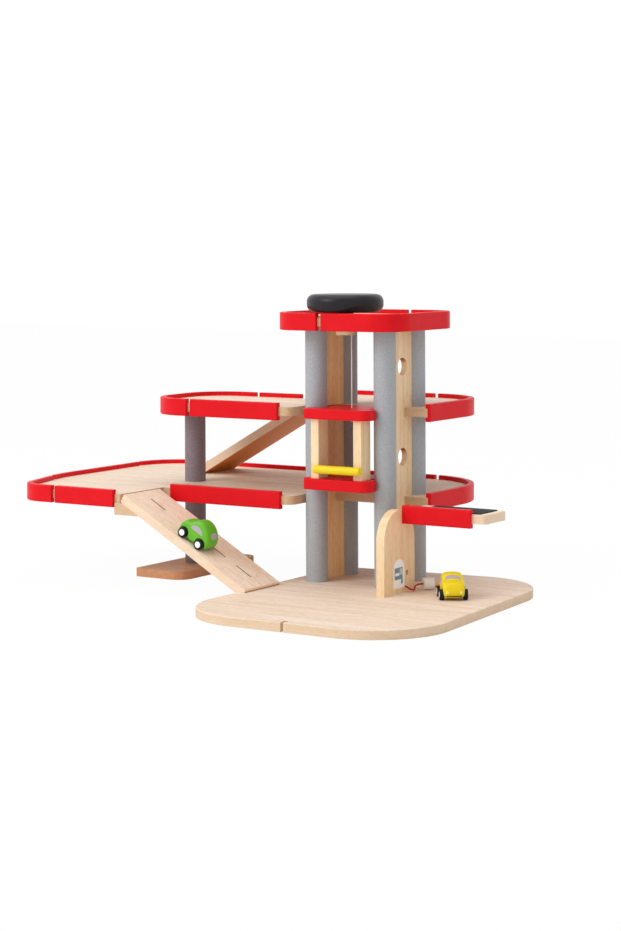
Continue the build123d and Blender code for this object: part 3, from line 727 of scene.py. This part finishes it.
# %% The panes' outlines
side_pane = [(-14, 19), (-11, 23.6), (-5.5, 26.2), (0.5, 26.4), (5.5, 24.2), (8, 19)]
screen = [(-10.4, 24.8), (-9.2, 28.8), (-5.5, 30.4), (0, 30.9), (5.5, 30.4), (9.2, 28.8), (10.4, 24.8),
          (6.0, 26.4), (0, 27.0), (-6.0, 26.4)]
rear_pane = oval(6.5, 18.5, 26.0)
glass_proud = 0.12


# %% Glass and arches
def car_glass(shell, name):
    """What lies inside the panes of a slightly larger copy of the shell."""
    glass = copy_piece(shell, name)
    proud = glass.modifiers.new("proud", "DISPLACE")
    proud.strength = glass_proud
    proud.mid_level = 0.0
    apply_all(glass)
    panes = [pushed_outline("pane", side_pane, "Y", 9.5 * s, 18 * s) for s in (-1, 1)]
    panes.append(pushed_outline("pane", screen, "X", 3.0, 18.0))
    panes.append(pushed_outline("pane", rear_pane, "X", -28.0, -17.0))
    return cut(glass, join(panes), "INTERSECT")


def cut_arches(body):
    """Cuts a round arch over each of the four wheels."""
    arches = []
    for x in (-wheel_x, wheel_x):
        for s in (-1, 1):
            deselect()
            bpy.ops.mesh.primitive_cylinder_add(vertices=40, radius=arch_r, depth=arch_depth,
                                                location=(x, s * arch_y, wheel_z),
                                                rotation=(math.pi / 2, 0, 0))
            arches.append(bpy.context.object)
    return cut(body, join(arches), "DIFFERENCE")


# %% Dress one car
def dress_car(colour, paint_finish, extras):
    """Makes a car's body, glass and extras, and sets them on its body in the frame."""
    place = car_places[colour] @ mm
    body = car_shell(f"{colour}_car_shell")
    glass = car_glass(body, f"{colour}_car_glass")
    cut_arches(body)
    pieces = [(body, paint_finish), (glass, window_grey)] + extras()
    for obj, finish in pieces:
        obj.matrix_world = place @ obj.matrix_world
        bake_place(obj)
        smooth(obj, 40)
        obj.data.materials.clear()
        obj.data.materials.append(finish)
        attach(obj, f"{colour}_car")
    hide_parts(f"{colour}_car_body")
    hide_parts(f"{colour}_car_windows")
    print(colour, "car:", len(body.data.polygons), "faces")


# %% Lamps and nose bar
lamp_r, lamp_flat = 2.3, 0.75
lamp_x, lamp_y, lamp_z = 25.0, 8.6, 10.6


def lamps_and_nose_bar():
    """Two round lamps on the nose, and a dark bar low on the nose under them."""
    out = []
    for s in (-1, 1):
        deselect()
        bpy.ops.mesh.primitive_uv_sphere_add(segments=24, ring_count=12, radius=lamp_r,
                                             location=(lamp_x, lamp_y * s, lamp_z))
        lamp_piece = bpy.context.object
        lamp_piece.name = f"yellow_car_lamp_{'left' if s > 0 else 'right'}"
        lamp_piece.scale = (lamp_flat, 1.0, 1.0)
        bake_place(lamp_piece)
        out.append((lamp_piece, lamp_cream))
    bar = rounded_bar("yellow_car_nose_bar", (2.6, 20.0, 1.1), (25.9, 0, 6.0), 0.5, 3)
    out.append((bar, nose_bar_dark))
    return out


# %% Both cars
dress_car("yellow", yellow_paint, lamps_and_nose_bar)
dress_car("green", green_paint, lambda: [])

# %% [markdown]
# ## The pump's label
# The label shows a plain pump: a grey cabinet with a pale pane, a white band and a teal foot. Print could
# be a pattern on the label, but small flat shapes are easier to place and stay crisp. Each is a bar with
# eased edges, half sunk in the label, and no thicker than a third of a millimetre above it.

# %% Draw the pump on the label
low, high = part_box("pump_sticker")
face_x = high.x
mid_y = (low.y + high.y) / 2
print_ease = 0.00012
for name, size, at, mat in (
        ("label_cabinet", (0.0004, 0.0205, 0.0155), (mid_y - 0.0016, low.z + 0.0195), label_grey),
        ("label_band", (0.0007, 0.0105, 0.0036), (mid_y - 0.0052, low.z + 0.0186), label_white),
        ("label_pane", (0.0007, 0.0066, 0.0082), (mid_y + 0.0042, low.z + 0.0215), label_pale),
        ("label_foot", (0.0005, 0.0044, 0.0066), (mid_y + 0.0068, low.z + 0.0088), label_teal)):
    bar = rounded_bar(name, size, (face_x, at[0], at[1]), print_ease, 2)
    bar.data.materials.append(mat)
    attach(bar, "frame")

# %% [markdown]
# ## Floor, light and camera
# The photograph is a product shot on white: a pale floor, a broad soft light from above and the front,
# and hardly any shadow. Turning the lamps up until the floor is white would wash out the wood. So the
# lamps stay at a plain level, and only the rays that the eye, a gloss or a glass sends out see the floor
# and the sky as white. The camera stands three metres away, level, a little above the top board.

# %% Floor
deselect()
bpy.ops.mesh.primitive_plane_add(size=14, location=(0, 0, 0))
floor = bpy.context.object
floor.name = "studio_floor"
floor_mat, tree, shader = new_material("studio_white", 0.9, shine=0.1)
shader.inputs["Base Color"].default_value = (0.90, 0.90, 0.90, 1)
floor_seen_white, sky_seen_white = 0.97, 1.0


def seen_rays(tree, share, at):
    """How far a ray that the eye, a gloss or a glass sends out is to see plain white."""
    path = add(tree, "ShaderNodeLightPath", at)
    first = add(tree, "ShaderNodeMath", (at[0] + 180, at[1]), operation="MAXIMUM")
    tree.links.new(path.outputs["Is Camera Ray"], first.inputs[0])
    tree.links.new(path.outputs["Is Glossy Ray"], first.inputs[1])
    second = add(tree, "ShaderNodeMath", (at[0] + 360, at[1]), operation="MAXIMUM")
    tree.links.new(first.outputs[0], second.inputs[0])
    tree.links.new(path.outputs["Is Transmission Ray"], second.inputs[1])
    part = add(tree, "ShaderNodeMath", (at[0] + 540, at[1]), operation="MULTIPLY")
    tree.links.new(second.outputs[0], part.inputs[0])
    part.inputs[1].default_value = share
    return part.outputs[0]


white = add(tree, "ShaderNodeEmission", (0, -200))
white.inputs["Color"].default_value = (1, 1, 1, 1)
either = add(tree, "ShaderNodeMixShader", (300, 0))
tree.links.new(seen_rays(tree, floor_seen_white, (-700, 300)), either.inputs["Fac"])
tree.links.new(shader.outputs["BSDF"], either.inputs[1])
tree.links.new(white.outputs["Emission"], either.inputs[2])
tree.links.new(either.outputs["Shader"], tree.nodes["Material Output"].inputs["Surface"])
floor.data.materials.append(floor_mat)

# %% World and lamps
world = bpy.data.worlds.new("studio")
bpy.context.scene.world = world
world.use_nodes = True
sky = world.node_tree
soft = sky.nodes["Background"]
soft.inputs["Color"].default_value = (1, 1, 1, 1)
soft.inputs["Strength"].default_value = 0.70
backdrop = add(sky, "ShaderNodeBackground", (0, -200))
backdrop.inputs["Color"].default_value = (1, 1, 1, 1)
backdrop.inputs["Strength"].default_value = 1.0
either = add(sky, "ShaderNodeMixShader", (300, 0))
sky.links.new(seen_rays(sky, sky_seen_white, (-700, 300)), either.inputs["Fac"])
sky.links.new(soft.outputs["Background"], either.inputs[1])
sky.links.new(backdrop.outputs["Background"], either.inputs[2])
sky.links.new(either.outputs["Shader"], sky.nodes["World Output"].inputs["Surface"])


def lamp(name, at, target, size, power):
    """A square soft lamp that looks at a target."""
    data = bpy.data.lights.new(name, "AREA")
    data.size = size
    data.energy = power
    obj = bpy.data.objects.new(name, data)
    obj.location = at
    obj.rotation_euler = (Vector(target) - Vector(at)).to_track_quat("-Z", "Y").to_euler()
    bpy.context.scene.collection.objects.link(obj)


lamp("key", (-1.4, -2.4, 1.9), (0, 0, 0.15), 1.6, 40)
lamp("top", (-0.3, -0.2, 3.0), (0, 0, 0), 2.4, 29)

# %% Camera
photo_h = 931
focal_px, horizon_px = 2174.8, 239.89
film_mm = 36
scene = bpy.context.scene
scene.view_settings.view_transform = "Standard"
view = bpy.data.cameras.new("photo_view")
view.lens = focal_px * film_mm / photo_h
view.sensor_width = film_mm
view.shift_y = (horizon_px - photo_h / 2) / photo_h
view.clip_end = 50
camera = bpy.data.objects.new("photo_view", view)
camera.location = (1.5490, -2.5416, 0.4780)
camera.rotation_euler = (math.radians(90), math.radians(0.25), math.radians(32.79))
scene.collection.objects.link(camera)
scene.camera = camera
print("lens:", round(view.lens, 1), "mm")
